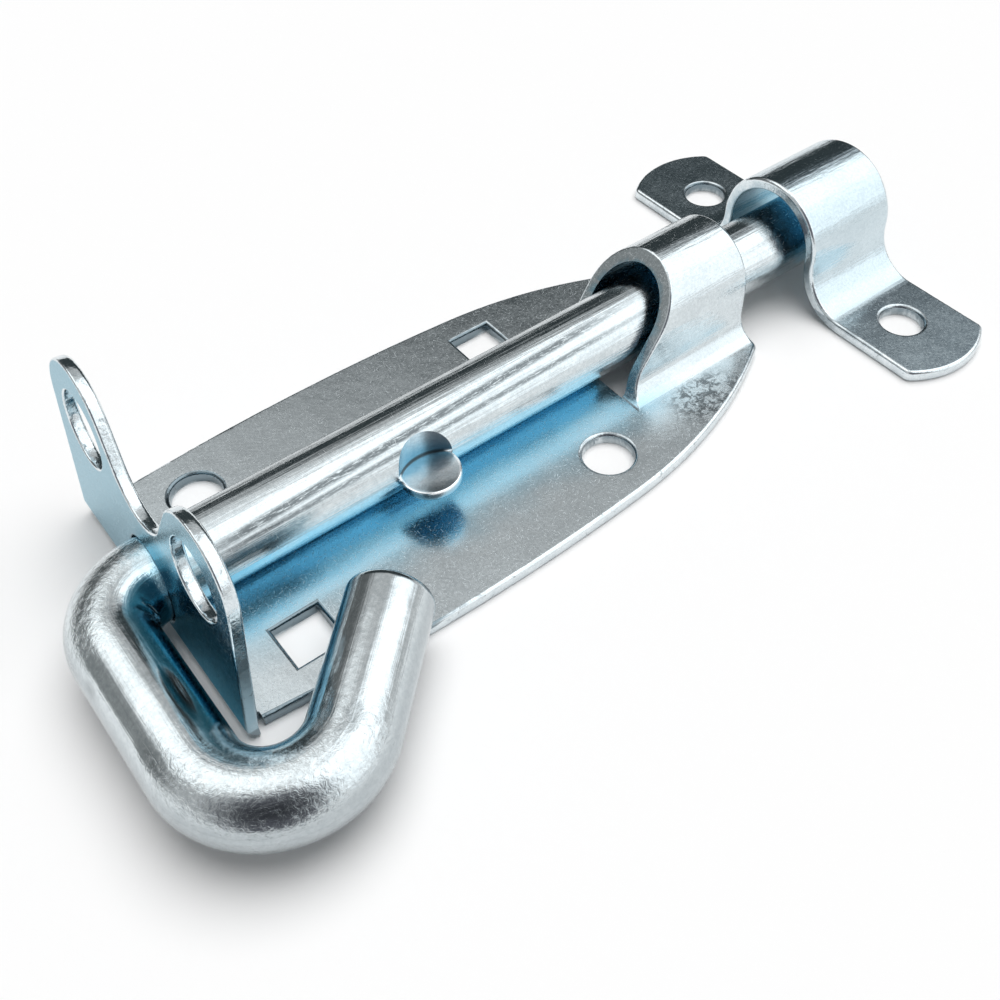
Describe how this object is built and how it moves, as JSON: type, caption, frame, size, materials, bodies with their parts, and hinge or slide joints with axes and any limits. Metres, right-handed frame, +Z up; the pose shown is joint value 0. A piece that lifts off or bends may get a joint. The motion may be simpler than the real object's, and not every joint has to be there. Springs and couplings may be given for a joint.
{
  "type": "sliding bolt latch",
  "caption": "Heavy round bolt latch with a hooked handle that turns, a bent base plate with a guide loop and padlock ears, and a strap keeper.",
  "frame": {"origin": "on the underside of the base plate, at the centre of its four-hole pattern", "axes": "+X along the bolt towards the keeper, +Y to the left, +Z up from the face that the latch is fixed to"},
  "size_m": [0.197, 0.1075, 0.0433],
  "materials": {
    "plated_sheet": "satin zinc plating with fine specks and scratches, bright rounded edges",
    "plated_bar": "bright zinc plating on a drawn bar, streaky lengthwise, hammered looking at the bends"
  },
  "bodies": {
    "base": {"base_plate": "plated_sheet", "keeper": "plated_sheet"},
    "sliding_bolt": {"bolt": "plated_bar"}
  },
  "joints": [
    {"name": "bolt_turn", "type": "hinge", "parent": "base", "child": "sliding_bolt", "pos_m": [0, 0, 0.011], "axis": [-1, 0, 0], "range_deg": [0, 180]}
  ]
}
